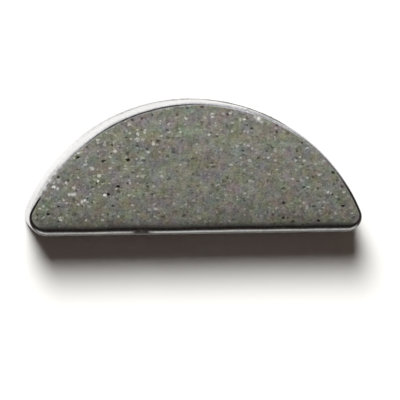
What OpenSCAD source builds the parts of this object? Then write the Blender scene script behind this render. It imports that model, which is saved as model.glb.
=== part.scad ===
// Woodruff key: a half-moon slice of a round steel disc. The arc seats in a pocket milled into a shaft,
// the flat stands proud of the shaft in a hub's keyway, and the side faces carry the drive between the two.
// It lies on one side face: the flat runs along X, the arc bulges towards +Y, and Z is the key's width.
// The origin is on the lower side face, at the middle of the part's length and height.

/* [Key] */

// Diameter of the disc that the key is a slice of
key_d = 10; // [8:0.5:20]

// Height of the slice, from the flat to the crown of the arc
key_h = 3.7; // [2.6:0.1:6]

// Width between the two side faces
key_b = 3; // [1:0.1:6]

/* [Edges] */

// Radius of the rounding along both edges of the flat
flat_edge_r = 0.3; // [0.05:0.01:0.4]

// Radius of the rounding along both edges of the arc
arc_edge_r = 0.1; // [0.05:0.01:0.4]

// Radius of the two tips, where the flat meets the arc
tip_r = 0.45; // [0.42:0.01:1.2]

/* [Hidden] */

$fn = 96;

steel_grey = [0.45, 0.45, 0.41];

// Everything is drawn round the disc's axis, then moved to the part's own origin.
disc_r = key_d / 2;
flat_y = disc_r - key_h;
middle_y = flat_y + key_h / 2;

// A tip's circle lies inside both the arc and the flat, but for a hair past each of them, so that it
// crosses them cleanly instead of only touching them.
tip_bite = 0.005;
tip_to_axis = disc_r - tip_r + tip_bite;
tip_y = flat_y + tip_r - tip_bite;
tip_x = sqrt(tip_to_axis * tip_to_axis - tip_y * tip_y);
tip = [tip_x, tip_y];

// The larger rounding runs out across the tips, which keep the smaller one.
tip_edge_r = min(flat_edge_r, arc_edge_r);

// What is left of a corner square outside its rounding
module corner_waste(edge_r) {
    difference() {
        square(edge_r);
        circle(edge_r);
    }
}

// Half of a cross-section: as high as the key is wide, with both corners at its far end rounded
module rounded_section(reach, edge_r) {
    difference() {
        square([reach, key_b]);
        translate([reach - edge_r, key_b - edge_r])
            corner_waste(edge_r);
        translate([reach - edge_r, edge_r])
            rotate(-90)
                corner_waste(edge_r);
    }
}

// A disc with both of its edges rounded
module rounded_disc(radius, edge_r) {
    rotate_extrude()
        rounded_section(radius, edge_r);
}

// A bar longer and deeper than the disc, with both edges of its flat rounded
module flat_bar() {
    translate([-key_d, key_d, 0])
        rotate([90, 0, 90])
            linear_extrude(2 * key_d)
                mirror([1, 0])
                    rounded_section(key_d - flat_y, flat_edge_r);
}

// The wedge outside a tip's rounding, between the ends of the arc and the flat. With the disc's axis at
// the origin, the tip's own place is also the direction from the axis through the tip.
module tip_waste() {
    outward = tip;
    downward = [0, -key_d];
    difference() {
        linear_extrude(key_b)
            polygon([tip, tip + outward, tip + outward + downward, tip + downward]);
        translate(tip)
            rounded_disc(tip_r, tip_edge_r);
    }
}

module woodruff_key() {
    color(steel_grey)
        translate([0, -middle_y, 0])
            difference() {
                intersection() {
                    rounded_disc(disc_r, arc_edge_r);
                    flat_bar();
                }
                tip_waste();
                mirror([1, 0, 0])
                    tip_waste();
            }
}

woodruff_key();
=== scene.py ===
"""A half-moon steel shaft key, tumbled and lightly worn, lying on white paper under a soft lamp."""

import math
from typing import NamedTuple

import bpy
import numpy as np
from mathutils import Matrix, Vector, noise
from mathutils.geometry import delaunay_2d_cdt


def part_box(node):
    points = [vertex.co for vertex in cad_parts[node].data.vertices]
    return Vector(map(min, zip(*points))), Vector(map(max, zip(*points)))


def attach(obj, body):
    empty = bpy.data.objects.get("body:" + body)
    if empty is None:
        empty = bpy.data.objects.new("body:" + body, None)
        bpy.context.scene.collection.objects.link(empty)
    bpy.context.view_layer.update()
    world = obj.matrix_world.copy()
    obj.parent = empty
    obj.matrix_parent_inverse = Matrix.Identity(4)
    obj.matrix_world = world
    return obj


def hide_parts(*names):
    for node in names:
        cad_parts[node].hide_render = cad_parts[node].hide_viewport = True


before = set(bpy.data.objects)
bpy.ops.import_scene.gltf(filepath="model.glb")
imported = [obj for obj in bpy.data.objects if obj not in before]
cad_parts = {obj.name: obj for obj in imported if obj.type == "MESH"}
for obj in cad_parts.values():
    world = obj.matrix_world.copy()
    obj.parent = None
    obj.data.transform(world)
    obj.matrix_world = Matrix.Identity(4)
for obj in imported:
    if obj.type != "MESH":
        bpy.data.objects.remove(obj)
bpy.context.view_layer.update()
KEY_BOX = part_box("woodruff_key")

bl_info = {
    "name": "Woodruff key",
    "version": (1, 0, 0),
    "blender": (4, 5, 0),
    "location": "3D View > Sidebar > Woodruff key",
    "description": "Builds a tumbled steel half-moon key and the paper it is photographed on",
    "category": "Object",
}

MM = 0.001
BODY_NAME = "key_body"
WHITE = (1, 1, 1, 1)

# Marks on each point of the skin: rubbed smooth, scraped, darkened with painted shade, brightened with
# painted glints, and pitted
WORN = "worn"
TORN = "torn"
PAINTED_SHADE = "stain"
SHINE = "shine"
PIT = "pit"

# Rows of points over each rounded edge
EDGE_STEPS = 16

# Rows of points over the foot of the wall, and how far down the wall, from 0 to 1, the foot starts
FOOT_ROWS = 18
FOOT_START = 0.7

# Distance between the rows above the foot, in spacings of the points along a row
WALL_STRETCH = 2.6

# Wear and painted shade along the arc: pairs of a direction from its axis, in degrees, and an amount there.
# The edge, rolled and burr shade tables give painted shade: a dark line along the edge for the dark
# surroundings it mirrors, and a dark line at the wall's foot. The burr, the out-of-round and the swollen
# tip are in millimetres, and the painted shade's extra width is in degrees of the edge's turn.
EDGE_SHADE = (
    (30, 1), (42, 0.5), (54, 0.3), (60, 0), (82, 0),
    (96, 0.9), (120, 0.9), (132, 0.2), (146, 0.2), (152, 1),
)
EDGE_SHADE_WIDTH = ((26, 26), (40, 0), (148, 0), (155, 24))
EDGE_SHADE_PATCHES = ((28, 0), (38, 1), (144, 1), (150, 0))
ROLLED_SHADE = ((62, 0.85), (76, 0.3))
BURR_SHADE = ((50, 0), (58, 0.9), (80, 0.9), (92, 0.6), (130, 0.1))
BURR_TEARS = ((40, 0), (60, 1), (90, 0.8), (130, 0))
BURR = ((30, 0), (50, 0.014), (62, 0.046), (74, 0.03), (86, 0.018), (98, 0.014), (124, 0.014), (134, 0))
OUT_OF_ROUND = ((20, 0), (28, 0.008), (38, 0.018), (52, 0.03), (64, 0.01), (78, 0))
SWOLLEN_TIP = ((148, 0), (157, 0.05), (166, 0.05), (172, 0))

# Patches on the arc: direction of the middle, reach to each side and length of the fade, in degrees
ROLLED_PATCH = (68, 9.6, 8)
SCRAPED_PATCH = (148, 5.6, 8)

# Height of the burr, as a share of the key's width
BURR_LEVEL = 0.2

# Painted shade on a side face beside the flat's edge, and how far it takes to fade
FACE_SHADE = 0.38
FACE_SHADE_REACH = 0.24 * MM

# Bright specks near the left tip, painted as glints: place on the upper face, in millimetres, and
# brightness
LEFT_GLINTS = (
    (-3.55, -0.67, 1.0),
    (-3.47, -0.67, 1.0),
    (-3.40, -0.66, 0.9),
    (-3.87, -0.50, 0.9),
    (-3.19, -0.87, 1.0),
)

# Scrapes along the arc's upper edge, left of the crown, dented and painted as glints or shade: how many,
# and the directions they start at and step by, in degrees
SCRAPES = 15
SCRAPES_START = 138
SCRAPES_STEP = 0.95

# Lines of drawing on a wall: how often they come along X, along Y and up the wall
DRAWN_LINES = (16 / MM, 16 / MM, 0.5 / MM)

# Middle of the part of the upper face that has the fewest specks, in millimetres
CALM_MIDDLE = (0.2, -0.6, 3.0)

# The soft light above that the steel mirrors: its direction, and how far it reaches round that
OVERHEAD_WAY = (-0.03, 0.265, 0.964)
OVERHEAD_REACH = math.radians(28)

# Distance from the middle of the paper to its sides
PAPER_REACH = 3.0


class KeySizes(bpy.types.PropertyGroup):
    """Sizes of the key. The overall ones come from the frame."""

    length: bpy.props.FloatProperty(
        name="Length",
        description="From the end of one tip to the end of the other",
        default=KEY_BOX[1][0] - KEY_BOX[0][0],
        unit="LENGTH",
        precision=6,
    )
    height: bpy.props.FloatProperty(
        name="Height",
        description="From the flat to the crown of the arc",
        default=KEY_BOX[1][1] - KEY_BOX[0][1],
        unit="LENGTH",
        precision=6,
    )
    width: bpy.props.FloatProperty(
        name="Width",
        description="Between the two side faces",
        default=KEY_BOX[1][2] - KEY_BOX[0][2],
        unit="LENGTH",
        precision=6,
    )
    tip_radius: bpy.props.FloatProperty(
        name="Tip radius",
        description="Rounding of the two tips, where the flat meets the arc",
        default=0.45 * MM,
        unit="LENGTH",
        precision=6,
    )
    tip_wear: bpy.props.FloatProperty(
        name="Tip wear",
        description="How much rounder than the other the left tip has worn, as a change to both radii",
        default=0.04 * MM,
        unit="LENGTH",
        precision=6,
    )
    flat_edge: bpy.props.FloatProperty(
        name="Flat's edge radius",
        description="Rounding along both edges of the flat",
        default=0.3 * MM,
        unit="LENGTH",
        precision=6,
    )
    arc_edge: bpy.props.FloatProperty(
        name="Arc's edge radius",
        description="Rounding along both edges of the arc",
        default=0.1 * MM,
        unit="LENGTH",
        precision=6,
    )
    crown: bpy.props.FloatProperty(
        name="Crown",
        description="How far the tumbled side faces fall away towards the flat and the arc",
        default=0.05 * MM,
        unit="LENGTH",
        precision=6,
    )
    spacing: bpy.props.FloatProperty(
        name="Mesh spacing",
        description="Distance between neighbouring points of the skin",
        default=0.036 * MM,
        unit="LENGTH",
        precision=6,
    )


class KeyFinish(bpy.types.PropertyGroup):
    """Colours and surface of the steel."""

    steel: bpy.props.FloatVectorProperty(
        name="Steel",
        description="Colour of the tumbled steel",
        subtype="COLOR",
        default=(0.205, 0.202, 0.168),
    )
    wall: bpy.props.FloatVectorProperty(
        name="Wall",
        description="Colour of the smooth drawn walls",
        subtype="COLOR",
        default=(0.72, 0.725, 0.752),
    )
    # The bright specks and burnished spots are painted in this colour as glints
    glint: bpy.props.FloatVectorProperty(
        name="Glint",
        description="Colour of the burnished high spots",
        subtype="COLOR",
        default=(0.86, 0.85, 0.8),
    )
    # Grime in the pits and dark specks, and the colour of the painted shade along the edges, beside the
    # flat and at the foot of the arc's wall
    grime_and_shade: bpy.props.FloatVectorProperty(
        name="Grime",
        description="Colour left in the pits and along the edges",
        subtype="COLOR",
        default=(0.017, 0.013, 0.011),
    )
    face_roughness: bpy.props.FloatProperty(
        name="Face roughness",
        description="Roughness of the tumbled side faces",
        default=0.36,
        subtype="FACTOR",
    )
    wall_roughness: bpy.props.FloatProperty(
        name="Wall roughness",
        description="Roughness of the smooth drawn walls and the rubbed edges",
        default=0.22,
        subtype="FACTOR",
    )
    torn_roughness: bpy.props.FloatProperty(
        name="Torn roughness",
        description="Roughness of the burr and of the scraped stretch of wall",
        default=0.65,
        subtype="FACTOR",
    )
    pit_size: bpy.props.FloatProperty(
        name="Pit spacing",
        description="Distance between the places where a pit can be",
        default=0.14 * MM,
        unit="LENGTH",
        precision=6,
    )
    pit_depth: bpy.props.FloatProperty(
        name="Pit depth",
        description="Depth of the deepest pits",
        default=0.005 * MM,
        unit="LENGTH",
        precision=6,
    )
    wave_size: bpy.props.FloatProperty(
        name="Wave length",
        description="Length of the shallow waves that tumbling leaves",
        default=0.5 * MM,
        unit="LENGTH",
        precision=6,
    )
    wave_depth: bpy.props.FloatProperty(
        name="Wave depth",
        description="Height of the shallow waves that tumbling leaves",
        default=0.0025 * MM,
        unit="LENGTH",
        precision=6,
    )
    tear_size: bpy.props.FloatProperty(
        name="Tear spacing",
        description="Distance between the tears in the burr and the scraped stretch",
        default=0.16 * MM,
        unit="LENGTH",
        precision=6,
    )
    tear_depth: bpy.props.FloatProperty(
        name="Tear depth",
        description="Depth of the tears in the burr and the scraped stretch",
        default=0.02 * MM,
        unit="LENGTH",
        precision=6,
    )
    seed: bpy.props.IntProperty(
        name="Seed",
        description="Picks where the pits, waves and tears fall",
        default=7,
    )


class KeyStage(bpy.types.PropertyGroup):
    """Paper, lamp, surroundings and camera."""

    paper: bpy.props.FloatVectorProperty(
        name="Paper",
        description="Colour of the paper under the key",
        subtype="COLOR",
        default=(0.94, 0.94, 0.94),
    )
    lamp_power: bpy.props.FloatProperty(
        name="Lamp power",
        description="Power of the soft lamp",
        default=4.3,
        unit="POWER",
    )
    lamp_colour: bpy.props.FloatVectorProperty(
        name="Lamp colour",
        description="Colour of the soft lamp's light",
        subtype="COLOR",
        default=(1.0, 0.998, 0.972),
    )
    lamp_distance: bpy.props.FloatProperty(
        name="Lamp distance",
        description="From the key to the lamp",
        default=0.6,
        unit="LENGTH",
    )
    lamp_width: bpy.props.FloatProperty(
        name="Lamp width",
        description="How wide the lamp looks from the key",
        default=math.radians(17),
        unit="ROTATION",
    )
    lamp_depth: bpy.props.FloatProperty(
        name="Lamp depth",
        description="How deep the lamp looks from the key, from its near edge to its far one",
        default=math.radians(25),
        unit="ROTATION",
    )
    lamp_height: bpy.props.FloatProperty(
        name="Lamp height",
        description="Angle of the lamp above the paper",
        default=math.radians(61.7),
        unit="ROTATION",
    )
    lamp_side: bpy.props.FloatProperty(
        name="Lamp side",
        description="How far the lamp stands to the left of straight beyond the arc",
        default=math.radians(17),
        unit="ROTATION",
    )
    fill: bpy.props.FloatProperty(
        name="Fill",
        description="Strength of the soft light from all round",
        default=0.05,
    )
    fill_colour: bpy.props.FloatVectorProperty(
        name="Fill colour",
        description="Colour of the soft light from all round",
        subtype="COLOR",
        default=(1.0, 0.72, 0.58),
    )
    room: bpy.props.FloatProperty(
        name="Room",
        description="Brightness of the surroundings that the steel mirrors, above the white horizon",
        default=0.5,
    )
    overhead: bpy.props.FloatProperty(
        name="Overhead",
        description="Brightness of the broad soft light above the key that the steel mirrors",
        default=1.22,
    )
    view_distance: bpy.props.FloatProperty(
        name="View distance",
        description="From the upper side face to the camera",
        default=300 * MM,
        unit="LENGTH",
        precision=6,
    )
    view_width: bpy.props.FloatProperty(
        name="View width",
        description="Width of the picture at the upper side face",
        default=11.2 * MM,
        unit="LENGTH",
        precision=6,
    )
    view_lean: bpy.props.FloatProperty(
        name="View lean",
        description="How far the camera leans from straight above",
        default=math.radians(5.1),
        unit="ROTATION",
    )
    view_lean_side: bpy.props.FloatProperty(
        name="View lean side",
        description="Direction of the lean, counter-clockwise from the key's length",
        default=math.radians(148),
        unit="ROTATION",
    )
    view_roll: bpy.props.FloatProperty(
        name="View roll",
        description="Turn of the key in the picture, counter-clockwise",
        default=math.radians(0.68),
        unit="ROTATION",
    )
    aim: bpy.props.FloatVectorProperty(
        name="Aim",
        description="Point on the upper side face at the middle of the picture, from the face's middle",
        size=2,
        default=(0.118 * MM, -0.885 * MM),
        unit="LENGTH",
        precision=6,
    )


def add_node(tree, kind, inputs=None, **settings):
    """Adds a node, and sets or links its inputs by name or number."""
    made = tree.nodes.new(kind)
    for name, value in settings.items():
        setattr(made, name, value)
    for name, value in (inputs or {}).items():
        if isinstance(value, bpy.types.NodeSocket):
            tree.links.new(value, made.inputs[name])
        else:
            made.inputs[name].default_value = value
    return made


def calc(tree, operation, *values):
    """Adds a Math node and returns its result."""
    return add_node(tree, "ShaderNodeMath", dict(enumerate(values)), operation=operation).outputs[0]


def ramp(tree, value, low, high, to_low=0.0, to_high=1.0):
    """Adds a smooth step of value from low to high and returns its result."""
    inputs = {"Value": value, "From Min": low, "From Max": high, "To Min": to_low, "To Max": to_high}
    return add_node(tree, "ShaderNodeMapRange", inputs, interpolation_type="SMOOTHSTEP").outputs[0]


def blend_colour(tree, factor, first, second, blend_type="MIX"):
    """Adds a colour mix and returns its result."""
    inputs = {0: factor, 6: first, 7: second}
    return add_node(tree, "ShaderNodeMix", inputs, data_type="RGBA", blend_type=blend_type).outputs[2]


def blend_value(tree, factor, first, second):
    """Adds a mix of two values and returns its result."""
    return add_node(tree, "ShaderNodeMix", {0: factor, 2: first, 3: second}).outputs[0]


def vary(tree, base, pattern, amount):
    """Adds nodes that shift a base value by a pattern of about 0 to 1, and returns the result."""
    return calc(tree, "MULTIPLY_ADD", calc(tree, "SUBTRACT", pattern, 0.5), amount, base)


def vector_calc(tree, operation, inputs, output=0):
    """Adds a Vector Math node and returns its result."""
    return add_node(tree, "ShaderNodeVectorMath", inputs, operation=operation).outputs[output]


def new_material(name):
    """A material with an empty node tree, and that tree."""
    material = bpy.data.materials.new(name)
    material.use_nodes = True
    material.node_tree.nodes.clear()
    return material, material.node_tree


def opaque(colour, share=1.0):
    """A colour for a socket, at a share of its brightness."""
    return (*[min(1.0, c * share) for c in colour], 1.0)


def rise(value, start, end):
    """A smooth step of a value: 0 up to start, 1 from end on."""
    t = np.clip((value - start) / (end - start), 0.0, 1.0)
    return t * t * (3.0 - 2.0 * t)


class Outline:
    """The key's outline seen from above, as stops counter-clockwise from the left end of the flat.

    A stop has its point on the rim, the way out there, and how much it belongs to the flat."""

    def __init__(self, sizes):
        self.spacing = sizes.spacing
        self.flat_y = -sizes.height / 2
        nominal_x = sizes.length / 2 - sizes.tip_radius
        self.arc_radius = (nominal_x**2 / (sizes.height - 2 * sizes.tip_radius) + sizes.height) / 2
        self.axis_y = sizes.height / 2 - self.arc_radius
        self.rim, self.out, self.flatness = [], [], []
        right_radius, left_radius = sizes.tip_radius - sizes.tip_wear, sizes.tip_radius + sizes.tip_wear
        right, right_turn = self.tip(right_radius)
        left, left_turn = self.tip(left_radius)
        self.add_flat(-left[0], right[0])
        self.add_round(right, right_radius, -math.pi / 2, right_turn, 1.0, 0.0)
        self.add_round((0.0, self.axis_y), self.arc_radius, right_turn, math.pi - left_turn, 0.0, 0.0)
        left = (-left[0], left[1])
        self.add_round(left, left_radius, math.pi - left_turn, 1.5 * math.pi, 0.0, 1.0)
        self.rim, self.out, self.flatness = np.array(self.rim), np.array(self.out), np.array(self.flatness)

    def tip(self, radius):
        """Centre of a right-hand tip of this radius, and the direction in which it meets the arc."""
        y = self.flat_y + radius
        x = math.sqrt((self.arc_radius - radius) ** 2 - (y - self.axis_y) ** 2)
        return (x, y), math.atan2(y - self.axis_y, x)

    def add_flat(self, start, end):
        """Adds stops along the flat, between two places along the key's length."""
        steps = round((end - start) / self.spacing)
        for step in range(steps):
            self.rim.append((start + (end - start) * step / steps, self.flat_y))
            self.out.append((0.0, -1.0))
            self.flatness.append(1.0)

    def add_round(self, centre, radius, start, end, flat_start, flat_end):
        """Adds stops along a tip or the arc, between two directions from its centre."""
        steps = round((end - start) * radius / self.spacing)
        for step in range(steps):
            angle = start + (end - start) * step / steps
            way = (math.cos(angle), math.sin(angle))
            self.rim.append((centre[0] + radius * way[0], centre[1] + radius * way[1]))
            self.out.append(way)
            self.flatness.append(flat_start + (flat_end - flat_start) * float(rise(step, 0, steps)))

    def turns(self):
        """Direction of each stop from the arc's axis, in degrees."""
        return np.degrees(np.arctan2(self.rim[:, 1] - self.axis_y, self.rim[:, 0]))

    def along(self, pairs):
        """An amount at each stop, from pairs of a direction and the amount there."""
        return np.interp(self.turns(), *zip(*pairs))

    def patch(self, middle, reach, fade):
        """A patch on the arc: 1 within reach of its middle, fading to 0 beyond."""
        away = np.abs(self.turns() - middle)
        return (1 - rise(away, reach, reach + fade)) * (1 - self.flatness)

    def rolled(self):
        """Where the upper edge is rolled over: 1 right of the crown, 0 elsewhere."""
        return self.patch(*ROLLED_PATCH)

    def ring(self, inset):
        """Points all round, the given distance inside the rim."""
        return self.rim - self.out * inset[:, None]


def edge_wear(points, length, depth, seed):
    """Uneven wear along an edge: a factor near 1 for each point."""
    shift = Vector((seed, 2.3 * seed, 0.0))
    waves = [noise.fractal(Vector((*p, 0.0)) / length + shift, 0.8, 2.0, 3) for p in points]
    return 1.0 + depth * np.array(waves)


def rim_rows(sizes, outline):
    """Rings from the rim of the upper side face, down over its edge and the wall, to the lower side face.

    With each ring go its marks: how smooth it is rubbed, the arc's wall most and the flat's edges less, how
    much painted shade is on it, and how scraped it is."""
    edge = sizes.arc_edge + (sizes.flat_edge - sizes.arc_edge) * outline.flatness
    upper = edge * edge_wear(outline.rim, length=0.9 * MM, depth=0.08, seed=3)
    upper = upper * (1 - 0.1 * outline.rolled())
    lower = edge * edge_wear(outline.rim, length=0.9 * MM, depth=0.08, seed=11)
    ragged = edge_wear(outline.rim, length=0.35 * MM, depth=0.3, seed=5)
    patchy = np.clip(edge_wear(outline.rim, length=0.16 * MM, depth=0.35, seed=17), 0.55, 1.1)
    turns = [math.pi / 2 * step / EDGE_STEPS for step in range(EDGE_STEPS + 1)]
    wall_rows = round((sizes.width - 2 * sizes.flat_edge) / (WALL_STRETCH * sizes.spacing))
    above_foot = np.linspace(0, FOOT_START, wall_rows)[1:]
    foot = np.linspace(FOOT_START, 1.0, FOOT_ROWS)[1:-1]
    flush = np.zeros(len(outline.rim))
    wall_worn = 1.0 - 0.35 * outline.flatness
    edge_worn = 1.0 - 0.5 * outline.flatness
    rows, marks = [], {WORN: [], PAINTED_SHADE: [], TORN: []}

    def add_row(inset, height, worn, stain):
        level = height / sizes.width
        rows.append(np.column_stack((outline.ring(inset - wall_bulge(outline, level, ragged)), height)))
        marks[WORN].append(worn)
        marks[PAINTED_SHADE].append(stain)
        marks[TORN].append(worn * wall_torn(outline, level, ragged))

    def add_edge(radius, turn, height):
        worn = edge_worn * rise(1.6 * math.sin(turn) * (1 + 1.4 * outline.rolled()), 0, 1)
        stain = edge_stain(math.degrees(turn), outline, patchy)
        add_row(radius * (1 - math.sin(turn)), height, worn, stain)

    for turn in turns:
        add_edge(upper, turn, sizes.width - upper * (1 - math.cos(turn)))
    for share in (*above_foot, *foot):
        height = (sizes.width - upper) * (1 - share) + lower * share
        add_row(flush, height, wall_worn, wall_stain(outline, height / sizes.width, ragged))
    for turn in reversed(turns):
        add_edge(lower, turn, lower * (1 - math.cos(turn)))
    return rows, marks


def edge_stain(turn, outline, patchy):
    """Painted shade along an edge, standing in for the dark surroundings that the rounded edge mirrors, by
    how far the edge has turned from the side face towards the wall, in degrees.

    On the flat it fades in from the face, stops short at the rubbed crest, starts again below it and fades
    out towards the wall. On the arc it is a thin line that comes and goes round the key, is widest at the
    tips, and lies lower on the rolled edge."""
    below_crest = rise(turn, 53, 60)
    towards_crest = 0.4 + 0.47 * rise(turn, 0, 20) + 0.13 * rise(turn, 16, 22)
    on_flat = towards_crest * (1 - rise(turn, 38, 44)) + below_crest * (1 - rise(turn, 74, 90))
    amount = outline.along(EDGE_SHADE) * (1 + (patchy - 1) * outline.along(EDGE_SHADE_PATCHES))
    line_end = 34 + outline.along(EDGE_SHADE_WIDTH)
    on_arc = amount * rise(turn, 8, 22) * (1 - rise(turn, line_end, line_end + 20))
    on_arc = np.maximum(on_arc, below_crest * outline.rolled() * outline.along(ROLLED_SHADE))
    return on_arc + (on_flat - on_arc) * rise(outline.flatness, 0.45, 0.85)


def face_stain(points, sizes):
    """Painted shade on a side face: a darkening that fades out from the flat's edge."""
    from_edge = points[:, 1] + sizes.height / 2 - sizes.flat_edge
    return FACE_SHADE * np.exp(-from_edge / FACE_SHADE_REACH)


def wall_stain(outline, level, ragged):
    """Painted shade at the foot of the arc's wall: a dark line in the step above the burr, and a lighter
    darkening over the burr.
    """
    burr_top = BURR_LEVEL * ragged
    line = 1 - rise(np.abs(level - 0.96 * burr_top), 0, 0.02)
    shade_on_burr = 0.25 * (1 - rise(level, burr_top, burr_top + 0.14))
    return outline.along(BURR_SHADE) * (1 - outline.flatness) * np.maximum(line, shade_on_burr)


def wall_bulge(outline, level, ragged):
    """How far the wall stands out from a true arc, by its level from 0 at the foot to 1 at the top.

    The key is a little out of round on the right, has a burr along the foot, deepest there, and a swollen
    left tip."""
    burr_top = BURR_LEVEL * ragged
    burr = outline.along(BURR) * ragged * (1 - rise(level, burr_top - 0.018, burr_top))
    swollen = outline.along(SWOLLEN_TIP) * rise(level, 0.55, 0.95)
    return (outline.along(OUT_OF_ROUND) + burr + swollen) * (1 - outline.flatness) * MM


def wall_torn(outline, level, ragged):
    """Where the wall is scraped instead of smooth: on the burr, and high on the wall left of the crown."""
    torn_top = 1.1 * BURR_LEVEL * ragged
    burr = outline.along(BURR_TEARS) * (1 - rise(level, torn_top - 0.06, torn_top))
    scraped = outline.patch(*SCRAPED_PATCH) * rise(level, 0.45, 0.75)
    return np.maximum(burr * (1 - outline.flatness), 0.55 * scraped)


def face_points(ring, gap):
    """An even triangular spread of points inside a ring, clear of the ring itself."""
    low, high = ring.min(axis=0), ring.max(axis=0)
    row_gap = gap * math.sqrt(3) / 2
    rows = []
    for number, y in enumerate(np.arange(low[1] + row_gap, high[1], row_gap)):
        xs = np.arange(low[0] + gap * (0.5 if number % 2 else 1.0), high[0], gap)
        rows.append(np.column_stack((xs, np.full(len(xs), y))))
    spread = np.concatenate(rows)
    nearest = np.array([np.min(np.hypot(*(ring - p).T)) for p in spread])
    return spread[(nearest > 0.55 * gap) & (inside_ring(spread, ring))]


def inside_ring(points, ring):
    """Which points a closed ring goes round."""
    x, y = points[:, 0], points[:, 1]
    inside = np.zeros(len(points), dtype=bool)
    for a, b in zip(ring, np.roll(ring, -1, axis=0)):
        crosses = (a[1] > y) != (b[1] > y)
        with np.errstate(divide="ignore", invalid="ignore"):
            inside ^= crosses & (x < a[0] + (y - a[1]) * (b[0] - a[0]) / (b[1] - a[1]))
    return inside


def cap(ring, gap):
    """Fills a ring with even triangles.

    Returns the points added inside it, and the triangles, which count the ring's points first."""
    spread = face_points(ring, gap)
    flat = [Vector(p) for p in np.concatenate((ring, spread)) / MM]
    count = len(ring)
    made = delaunay_2d_cdt(flat, [], [list(range(count))], 1, 1e-7)
    origin = [sources[0] for sources in made[3]]
    return spread, [[origin[corner] for corner in face] for face in made[2]]


def key_mesh(sizes):
    """The key's skin as one closed mesh, with the marks of wear, painted shade and painted glints on each
    point.
    """
    outline = Outline(sizes)
    rows, marks = rim_rows(sizes, outline)
    count = len(outline.rim)
    points, faces = [np.concatenate(rows)], []
    for row in range(len(rows) - 1):
        for stop in range(count):
            after = (stop + 1) % count
            here, below = row * count, (row + 1) * count
            faces.append((here + stop, below + stop, below + after, here + after))
    for height, row in ((sizes.width, 0), (0.0, len(rows) - 1)):
        start = sum(len(p) for p in points)
        spread, triangles = cap(rows[row][:, :2], sizes.spacing)
        points.append(np.column_stack((spread, np.full(len(spread), height))))
        for name, values in marks.items():
            values.append(face_stain(spread, sizes) if name == PAINTED_SHADE else np.zeros(len(spread)))
        numbers = list(range(row * count, row * count + count)) + list(range(start, start + len(spread)))
        for triangle in triangles:
            corners = [numbers[corner] for corner in triangle]
            faces.append(corners if row == 0 else corners[::-1])
    points = np.concatenate(points)
    fall = (points[:, 1] / (sizes.height / 2)) ** 2
    points[:, 2] -= sizes.crown * fall * (2 * points[:, 2] / sizes.width - 1)
    marks = {name: np.concatenate(values) for name, values in marks.items()}
    marks[SHINE] = np.zeros(len(points))
    push_dents(points, marks, key_dents(outline, sizes.width / MM))
    mesh = bpy.data.meshes.new(BODY_NAME)
    mesh.from_pydata(points.tolist(), [], faces)
    for name, values in marks.items():
        mesh.attributes.new(name, "FLOAT", "POINT").data.foreach_set("value", values.astype(np.float32))
    mesh.validate()
    mesh.update()
    return mesh


class Dent(NamedTuple):
    """A mark of wear, in millimetres: where it is, how far it reaches, how the skin is pushed there, and
    how much painted glint and how much painted shade it gets."""

    place: tuple
    reach: float
    push: tuple
    bright: float = 0.0
    dark: float = 0.0


def push_dents(points, marks, dents):
    """Pushes the skin in or out round each dent, and paints glints and shade on it there."""
    for dent in dents:
        away = np.linalg.norm(points - np.array(dent.place) * MM, axis=1) / (dent.reach * MM)
        near = np.exp(-(away**2))
        points += near[:, None] * np.array(dent.push) * MM
        marks[SHINE] = np.maximum(marks[SHINE], np.minimum(dent.bright * near, 1.0))
        marks[PAINTED_SHADE] = np.maximum(marks[PAINTED_SHADE], np.minimum(dent.dark * near, 1.0))


def key_dents(outline, top):
    """The nick in the flat's edge, darkened with painted shade, the spike of burr right of the crown, the
    rubbed spots beside it and the specks near the left tip, painted bright as glints, and the scrapes along
    the arc's edge, painted as glints or shade."""
    dents = [
        # The nick, darkened with painted shade
        Dent((-1.62, -1.81, top - 0.15), 0.15, (0.0, 0.014, -0.014), dark=1.5),
        Dent((-1.43, -1.81, top - 0.14), 0.14, (0.0, 0.008, -0.014), dark=1.5),
        # The burr spike and the rubbed spots beside it, painted bright as glints
        Dent((1.51, 1.65, top - 0.05), 0.05, (0.04, 0.11, 0.02), bright=0.5),
        Dent((1.80, 1.36, top), 0.06, (0.0, 0.0, 0.012), bright=1.3),
        Dent((1.69, 1.42, top), 0.04, (0.0, 0.0, 0.01), bright=0.9),
        Dent((1.88, 1.27, top), 0.04, (0.0, 0.0, 0.01), bright=0.8),
    ]
    for x, y, bright in LEFT_GLINTS:
        dents.append(Dent((x, y, top), 0.036, (0.0, 0.0, -0.006), bright=bright))
    radius, axis = outline.arc_radius / MM, outline.axis_y / MM
    for step in range(SCRAPES):
        drift = 0.6 * noise.noise(Vector((step * 3.7, 1.3, 0.0)))
        turn = math.radians(SCRAPES_START + SCRAPES_STEP * step + drift)
        chance = 0.5 + 0.5 * noise.noise(Vector((step * 5.3, 9.1, 0.0)))
        inward = radius - 0.01 - 0.08 * chance
        place = (inward * math.cos(turn), axis + inward * math.sin(turn), top - 0.06)
        # Every third scrape is painted bright as a glint, the others dark with painted shade
        bright, dark = (0.6, 0.0) if step % 3 == 1 else (0.0, 0.8)
        dents.append(Dent(place, 0.045 + 0.015 * chance, (0.0, 0.0, -0.01 - 0.01 * chance), bright, dark))
    return dents


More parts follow.
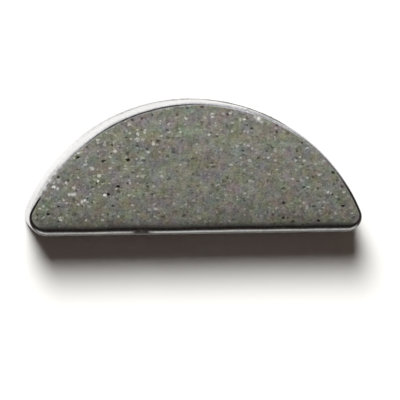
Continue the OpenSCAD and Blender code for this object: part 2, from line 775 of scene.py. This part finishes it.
def tumbled_skin():
    """Geometry Nodes that lay shallow waves and scattered pits over a skin, and tears over its scraped
    parts, and store where the pits are."""
    tree = bpy.data.node_groups.new("tumbled_skin", "GeometryNodeTree")
    tree.is_modifier = True
    sockets = tree.interface
    sockets.new_socket("Geometry", in_out="INPUT", socket_type="NodeSocketGeometry")
    sizes = ("Pit spacing", "Pit depth", "Wave length", "Wave depth", "Tear spacing", "Tear depth")
    for name in (*sizes, "Seed"):
        sockets.new_socket(name, in_out="INPUT", socket_type="NodeSocketFloat")
    sockets.new_socket("Steel", in_out="INPUT", socket_type="NodeSocketMaterial")
    sockets.new_socket("Geometry", in_out="OUTPUT", socket_type="NodeSocketGeometry")
    given = add_node(tree, "NodeGroupInput").outputs
    place = add_node(tree, "GeometryNodeInputPosition").outputs[0]
    normal = add_node(tree, "GeometryNodeInputNormal").outputs[0]
    worn = add_node(tree, "GeometryNodeInputNamedAttribute", {"Name": WORN}, data_type="FLOAT").outputs[0]
    torn = add_node(tree, "GeometryNodeInputNamedAttribute", {"Name": TORN}, data_type="FLOAT").outputs[0]

    def scaled(length):
        share = calc(tree, "DIVIDE", 1.0, length)
        return vector_calc(tree, "SCALE", {0: place, "Scale": share})

    cells = {"Vector": scaled(given["Pit spacing"]), "W": given["Seed"], "Scale": 1.0}
    pits = add_node(tree, "ShaderNodeTexVoronoi", cells, voronoi_dimensions="4D")
    chance = add_node(tree, "FunctionNodeSeparateColor", {0: pits.outputs["Color"]}).outputs
    reach = ramp(tree, chance[0], 0.45, 1.0, 0.0, 0.42)
    hollow = ramp(tree, calc(tree, "SUBTRACT", reach, pits.outputs["Distance"]), 0.0, 0.3)
    hollow = calc(tree, "MULTIPLY", hollow, ramp(tree, worn, 0.2, 0.9, 1.0, 0.35))
    swells = {"Vector": scaled(given["Wave length"]), "W": given["Seed"], "Scale": 1.0, "Detail": 3.0}
    wave = add_node(tree, "ShaderNodeTexNoise", swells, noise_dimensions="4D").outputs[0]
    lift = calc(tree, "MULTIPLY", calc(tree, "SUBTRACT", wave, 0.5), given["Wave depth"])
    lift = calc(tree, "SUBTRACT", lift, calc(tree, "MULTIPLY", hollow, given["Pit depth"]))
    drawn_out = vector_calc(tree, "MULTIPLY", {0: scaled(given["Tear spacing"]), 1: (1, 1, 0.25)})
    tears = {"Vector": drawn_out, "W": given["Seed"], "Scale": 1.0, "Detail": 2.0}
    tear = add_node(tree, "ShaderNodeTexNoise", tears, noise_dimensions="4D").outputs[0]
    tear = calc(tree, "MULTIPLY", calc(tree, "MULTIPLY", tear, given["Tear depth"]), torn)
    lift = calc(tree, "SUBTRACT", lift, tear)
    shift = vector_calc(tree, "SCALE", {0: normal, "Scale": lift})
    moved = {"Geometry": given["Geometry"], "Offset": shift}
    skin = add_node(tree, "GeometryNodeSetPosition", moved).outputs[0]
    stored = {"Geometry": skin, "Name": PIT, "Value": hollow}
    kept_as = {"data_type": "FLOAT", "domain": "POINT"}
    skin = add_node(tree, "GeometryNodeStoreNamedAttribute", stored, **kept_as).outputs[0]
    skin = add_node(tree, "GeometryNodeSetShadeSmooth", {"Geometry": skin}).outputs[0]
    skin = add_node(tree, "GeometryNodeRealizeInstances", {"Geometry": skin}).outputs[0]
    coated = {"Geometry": skin, "Material": given["Steel"]}
    skin = add_node(tree, "GeometryNodeSetMaterial", coated).outputs[0]
    add_node(tree, "NodeGroupOutput", {"Geometry": skin})
    return tree


def bake_skin(body, finish, steel):
    """Runs the tumbled skin over the body and keeps the result as its mesh."""
    modifier = body.modifiers.new("Tumbled skin", "NODES")
    modifier.node_group = tumbled_skin()
    values = {
        "Pit spacing": finish.pit_size,
        "Pit depth": finish.pit_depth,
        "Wave length": finish.wave_size,
        "Wave depth": finish.wave_depth,
        "Tear spacing": finish.tear_size,
        "Tear depth": finish.tear_depth,
        "Seed": float(finish.seed),
        "Steel": steel,
    }
    for item in modifier.node_group.interface.items_tree:
        if item.in_out == "INPUT" and item.name in values:
            modifier[item.identifier] = values[item.name]
    depsgraph = bpy.context.evaluated_depsgraph_get()
    baked = bpy.data.meshes.new_from_object(
        body.evaluated_get(depsgraph), preserve_all_data_layers=True, depsgraph=depsgraph
    )
    body.modifiers.clear()
    body.data = baked


class SteelPatterns:
    """The marks on the steel's skin and the patterns laid over it, as sockets of its material's tree.

    Grain and zone cover everything, lines are those of drawing on the walls, and specks are on the side
    faces: bright ones of three kinds, painted as glints, and dark ones."""

    def __init__(self, tree):
        self.tree = tree
        place = add_node(tree, "ShaderNodeTexCoord").outputs["Object"]
        self.in_mm = self.stretch(place, (1 / MM, 1 / MM, 1 / MM))
        self.worn, self.torn, self.stain, self.shine, self.pit = [
            add_node(tree, "ShaderNodeAttribute", attribute_name=name).outputs["Fac"]
            for name in (WORN, TORN, PAINTED_SHADE, SHINE, PIT)
        ]
        self.face = calc(tree, "SUBTRACT", 1.0, self.worn)
        self.grain = self.noise(17.0, 2.0)["Fac"]
        self.zone = self.noise(0.7, 1.0)["Fac"]
        self.lines = self.noise(1.0, 3.0, self.stretch(place, DRAWN_LINES))["Fac"]
        jitter = vector_calc(tree, "SCALE", {0: self.noise(13.0, 2.0)["Color"], "Scale": 0.1})
        ragged_place = self.stretch(vector_calc(tree, "ADD", {0: self.in_mm, 1: jitter}), (0.75, 1, 1))
        self.bright = self.specks(ragged_place, per_mm=7.5, rarity=0.42, size=0.44)
        self.fine_bright = self.specks(ragged_place, per_mm=12.0, rarity=0.35, size=0.5)
        self.left_bright = self.specks(ragged_place, per_mm=8.6, rarity=0.3, size=0.46)
        self.dark = self.specks(ragged_place, per_mm=9.5, rarity=0.15, size=0.52)

    def stretch(self, place, scale):
        """A place, scaled along each axis."""
        return add_node(self.tree, "ShaderNodeMapping", {"Vector": place, "Scale": scale}).outputs[0]

    def noise(self, scale, detail, place=None):
        """Noise with so many waves to the millimetre, or at another place's own scale."""
        place = self.in_mm if place is None else place
        inputs = {"Vector": place, "Scale": scale, "Detail": detail, "Roughness": 0.6}
        return add_node(self.tree, "ShaderNodeTexNoise", inputs).outputs

    def specks(self, place, per_mm, rarity, size):
        """Scattered ragged specks of uneven strength: up to 1 inside a speck, 0 outside.

        There is at most one speck in a cell. Rarity is the share of cells without one, and the largest
        specks reach so far, in cells."""
        tree = self.tree
        cells = add_node(tree, "ShaderNodeTexVoronoi", {"Vector": place, "Scale": per_mm}).outputs
        chance = add_node(tree, "ShaderNodeSeparateColor", {0: cells["Color"]}).outputs
        reach = ramp(tree, chance[0], rarity, 1.0, 0.0, size)
        inside = ramp(tree, calc(tree, "SUBTRACT", reach, cells["Distance"]), 0.0, 0.16)
        strength = calc(tree, "MULTIPLY_ADD", calc(tree, "POWER", chance[1], 2.0), 0.85, 0.15)
        return calc(tree, "MULTIPLY", calc(tree, "MULTIPLY", inside, strength), self.face)


def face_colour(steel, finish):
    """Colour of the side faces: grey grain under clouds of faint colour, with bright specks painted as
    glints and dark specks.

    The specks are fewest in the middle of the face and most of all at the left."""
    tree = steel.tree
    glint, grime_and_shade = opaque(finish.glint), opaque(finish.grime_and_shade)
    tone = vary(tree, steel.grain, steel.noise(6.5, 2.0)["Fac"], 0.9)
    low, high = opaque(finish.steel, 0.63), opaque(finish.steel, 1.37)
    colour = blend_colour(tree, ramp(tree, tone, 0.15, 0.85), low, high)
    cloud = {0: steel.noise(2.6, 1.5)["Color"], 1: (0.5, 0.5, 0.85), 2: (0.75, 0.75, 0.575)}
    colour = blend_colour(tree, 1.0, colour, vector_calc(tree, "MULTIPLY_ADD", cloud), "MULTIPLY")

    from_middle = vector_calc(tree, "DISTANCE", {0: steel.in_mm, 1: CALM_MIDDLE}, "Value")
    calm = ramp(tree, from_middle, 0.6, 3.0, 0.6, 1.0)
    length, height, _ = add_node(tree, "ShaderNodeSeparateXYZ", {0: steel.in_mm}).outputs
    often = vary(tree, ramp(tree, length, -4.0, -0.5, 0.85, 0.46), steel.zone, 1.2)
    often = calc(tree, "MULTIPLY", often, calm)
    leftmost = ramp(tree, length, -2.0, -0.4, 0.55, 0.0)
    leftmost = calc(tree, "MULTIPLY", leftmost, ramp(tree, height, -1.7, -0.5, 0.4, 1.0))
    # The bright specks are painted glints
    layers = (
        (steel.fine_bright, calc(tree, "MULTIPLY", calm, 0.55), glint),
        (steel.left_bright, leftmost, glint),
        (steel.bright, often, glint),
        (steel.dark, calc(tree, "MULTIPLY_ADD", leftmost, 0.3, calm), grime_and_shade),
        (steel.pit, 0.3, grime_and_shade),
    )
    for specks, amount, layer_colour in layers:
        colour = blend_colour(tree, calc(tree, "MULTIPLY", specks, amount), colour, layer_colour)
    return colour


def wall_colour(steel, finish):
    """Colour of the walls: bright and dull streaks along the lines of drawing."""
    streaks = vary(steel.tree, steel.lines, steel.zone, 0.8)
    streaks = ramp(steel.tree, streaks, 0.2, 0.75)
    return blend_colour(steel.tree, streaks, opaque(finish.wall, 0.6), opaque(finish.wall))


def steel_material(finish):
    """Tumbled steel: grey grain with specks painted bright as glints and dark pits, painted shade along the
    edges, and smooth drawn walls.
    """
    material, tree = new_material("tumbled_steel")
    steel = SteelPatterns(tree)
    scraped = vary(tree, steel.torn, steel.lines, 1.5)
    scraped = vary(tree, scraped, steel.grain, 1.2)
    scraped = calc(tree, "MULTIPLY", ramp(tree, scraped, 0.1, 1.0), steel.worn)
    # Painted shade: darkens the edges, the face beside the flat, the foot of the arc's wall, the nick and
    # some scrapes
    painted_shade_share = calc(tree, "MULTIPLY", steel.stain, ramp(tree, steel.grain, 0.3, 0.6, 0.95, 1.0))

    colour = blend_colour(tree, steel.worn, face_colour(steel, finish), wall_colour(steel, finish))
    colour = blend_colour(tree, calc(tree, "MULTIPLY", scraped, 0.6), colour, opaque(finish.steel))
    colour = blend_colour(tree, painted_shade_share, colour, opaque(finish.grime_and_shade))
    # Painted glints on the burnished spots, the burr spike and the bright specks
    colour = blend_colour(tree, steel.shine, colour, opaque(finish.glint))

    rough = vary(tree, finish.face_roughness, steel.grain, 0.3)
    smooth = vary(tree, finish.wall_roughness, steel.lines, 0.16)
    rough = blend_value(tree, steel.worn, rough, smooth)
    rough = blend_value(tree, scraped, rough, finish.torn_roughness)

    relief = calc(tree, "MULTIPLY_ADD", steel.dark, -0.6, steel.grain)
    relief = calc(tree, "MULTIPLY_ADD", steel.bright, 0.8, relief)
    grain_bump = {"Height": relief, "Strength": steel.face, "Distance": 0.005 * MM}
    bump = add_node(tree, "ShaderNodeBump", grain_bump).outputs[0]
    on_walls = calc(tree, "MULTIPLY", steel.worn, 0.3)
    line_bump = {"Height": steel.lines, "Strength": on_walls, "Distance": 0.004 * MM, "Normal": bump}
    bump = add_node(tree, "ShaderNodeBump", line_bump).outputs[0]

    surface = {"Base Color": colour, "Roughness": rough, "Metallic": 1.0, "Normal": bump}
    shader = add_node(tree, "ShaderNodeBsdfPrincipled", surface)
    add_node(tree, "ShaderNodeOutputMaterial", {"Surface": shader.outputs[0]})
    return material


def paper_material(stage):
    """White paper with the faintest fibre."""
    material, tree = new_material("white_paper")
    place = add_node(tree, "ShaderNodeTexCoord").outputs["Object"]
    fibre = {"Vector": place, "Scale": 9 / MM, "Detail": 2.0}
    fibre = add_node(tree, "ShaderNodeTexNoise", fibre).outputs[0]
    colour = blend_colour(tree, fibre, opaque(stage.paper), opaque(stage.paper, 0.985))
    ray = add_node(tree, "ShaderNodeLightPath").outputs
    seen = calc(tree, "MAXIMUM", ray["Is Camera Ray"], ray["Is Glossy Ray"])
    colour = blend_colour(tree, seen, colour, WHITE)
    shader = add_node(tree, "ShaderNodeBsdfDiffuse", {"Color": colour})
    add_node(tree, "ShaderNodeOutputMaterial", {"Surface": shader.outputs[0]})
    return material


def add_paper(stage):
    """A sheet of paper that reaches far past the picture."""
    mesh = bpy.data.meshes.new("paper")
    corners = [(PAPER_REACH * x, PAPER_REACH * y, 0) for x, y in ((-1, -1), (1, -1), (1, 1), (-1, 1))]
    mesh.from_pydata(corners, [], [(0, 1, 2, 3)])
    mesh.materials.append(paper_material(stage))
    paper = bpy.data.objects.new("paper", mesh)
    bpy.context.collection.objects.link(paper)


def add_lamp(stage):
    """A soft oval lamp beyond the arc, to the left. The steel mirrors the surroundings instead of it."""
    lamp = bpy.data.lights.new("soft_lamp", "AREA")
    lamp.shape = "ELLIPSE"
    lamp.energy = stage.lamp_power
    lamp.color = stage.lamp_colour
    lamp.size = 2 * stage.lamp_distance * math.tan(stage.lamp_width / 2)
    lamp.size_y = 2 * stage.lamp_distance * math.tan(stage.lamp_depth / 2)
    holder = bpy.data.objects.new("soft_lamp", lamp)
    level = math.cos(stage.lamp_height)
    side, beyond = -math.sin(stage.lamp_side) * level, math.cos(stage.lamp_side) * level
    to_lamp = Vector((side, beyond, math.sin(stage.lamp_height)))
    holder.rotation_euler = to_lamp.to_track_quat("Z", "Y").to_euler()
    holder.location = to_lamp * stage.lamp_distance
    holder.visible_glossy = False
    bpy.context.collection.objects.link(holder)


def light_world(stage):
    """A soft fill from all round. The camera sees white beyond the paper, and the steel mirrors a room."""
    world = bpy.data.worlds.new("surroundings")
    world.use_nodes = True
    tree = world.node_tree
    tree.nodes.clear()
    way = add_node(tree, "ShaderNodeTexCoord").outputs["Generated"]
    height = add_node(tree, "ShaderNodeSeparateXYZ", {0: way}).outputs["Z"]
    horizon = ramp(tree, height, 0.02, 0.7, 1.0, stage.room)
    near = vector_calc(tree, "DOT_PRODUCT", {0: way, 1: OVERHEAD_WAY}, "Value")
    above = calc(tree, "MULTIPLY", ramp(tree, near, math.cos(OVERHEAD_REACH), 1.0), stage.overhead)
    room = calc(tree, "ADD", horizon, above)
    ray = add_node(tree, "ShaderNodeLightPath").outputs
    seen = calc(tree, "MAXIMUM", ray["Is Camera Ray"], ray["Is Transmission Ray"])
    before_paper = calc(tree, "LESS_THAN", ray["Diffuse Depth"], 0.5)
    mirrored = calc(tree, "MULTIPLY", ray["Is Glossy Ray"], before_paper)
    strength = blend_value(tree, seen, blend_value(tree, mirrored, stage.fill, room), 1.0)
    plain = calc(tree, "MAXIMUM", seen, mirrored)
    colour = blend_colour(tree, plain, opaque(stage.fill_colour), WHITE)
    light = add_node(tree, "ShaderNodeBackground", {"Color": colour, "Strength": strength})
    add_node(tree, "ShaderNodeOutputWorld", {"Surface": light.outputs[0]})
    bpy.context.scene.world = world


def add_camera(stage, sizes):
    """A camera above the key, with a little lean and roll."""
    camera = bpy.data.cameras.new("camera")
    camera.sensor_width = 36.0
    camera.lens = camera.sensor_width * stage.view_distance / stage.view_width
    camera.clip_start = 1 * MM
    camera.clip_end = 20.0
    lean = math.sin(stage.view_lean)
    side = stage.view_lean_side
    back = Vector((lean * math.cos(side), lean * math.sin(side), math.cos(stage.view_lean)))
    up = Vector((math.sin(stage.view_roll), math.cos(stage.view_roll), 0.0))
    right = up.cross(back).normalized()
    up = back.cross(right)
    holder = bpy.data.objects.new("camera", camera)
    aim = Vector((*stage.aim, sizes.width))
    spot = aim + back * stage.view_distance
    holder.matrix_world = Matrix((*zip(right, up, back, spot), (0.0, 0.0, 0.0, 1.0)))
    bpy.context.collection.objects.link(holder)
    bpy.context.scene.camera = holder


class WOODRUFF_OT_key(bpy.types.Operator):
    """Builds the key: its skin, the marks of tumbling and wear, the painted shade and glints, and its steel
    """

    bl_idname = "woodruff.key"
    bl_label = "Build the key"

    def execute(self, context):
        sizes, finish = context.scene.woodruff_sizes, context.scene.woodruff_finish
        body = bpy.data.objects.new(BODY_NAME, key_mesh(sizes))
        context.collection.objects.link(body)
        bake_skin(body, finish, steel_material(finish))
        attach(body, "root")
        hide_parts("woodruff_key")
        return {"FINISHED"}


class WOODRUFF_OT_stage(bpy.types.Operator):
    """Lays the paper and sets the lamp, the surroundings and the camera"""

    bl_idname = "woodruff.stage"
    bl_label = "Set the stage"

    def execute(self, context):
        stage = context.scene.woodruff_stage
        context.scene.view_settings.view_transform = "Standard"
        add_paper(stage)
        add_lamp(stage)
        light_world(stage)
        add_camera(stage, context.scene.woodruff_sizes)
        return {"FINISHED"}


class WOODRUFF_PT_panel(bpy.types.Panel):
    """Lists the key's sizes, its finish and the stage"""

    bl_idname = "WOODRUFF_PT_panel"
    bl_label = "Woodruff key"
    bl_space_type = "VIEW_3D"
    bl_region_type = "UI"
    bl_category = "Woodruff key"

    def draw(self, context):
        scene = context.scene
        groups = (
            (scene.woodruff_sizes, WOODRUFF_OT_key.bl_idname),
            (scene.woodruff_finish, None),
            (scene.woodruff_stage, WOODRUFF_OT_stage.bl_idname),
        )
        for group, operator in groups:
            box = self.layout.box()
            for name in type(group).__annotations__:
                box.prop(group, name)
            if operator:
                box.operator(operator)


CLASSES = (KeySizes, KeyFinish, KeyStage, WOODRUFF_OT_key, WOODRUFF_OT_stage, WOODRUFF_PT_panel)


def register():
    for cls in CLASSES:
        bpy.utils.register_class(cls)
    bpy.types.Scene.woodruff_sizes = bpy.props.PointerProperty(type=KeySizes)
    bpy.types.Scene.woodruff_finish = bpy.props.PointerProperty(type=KeyFinish)
    bpy.types.Scene.woodruff_stage = bpy.props.PointerProperty(type=KeyStage)


def unregister():
    del bpy.types.Scene.woodruff_stage
    del bpy.types.Scene.woodruff_finish
    del bpy.types.Scene.woodruff_sizes
    for cls in reversed(CLASSES):
        bpy.utils.unregister_class(cls)


def main():
    register()
    bpy.ops.woodruff.key()
    bpy.ops.woodruff.stage()


if __name__ == "__main__":
    main()
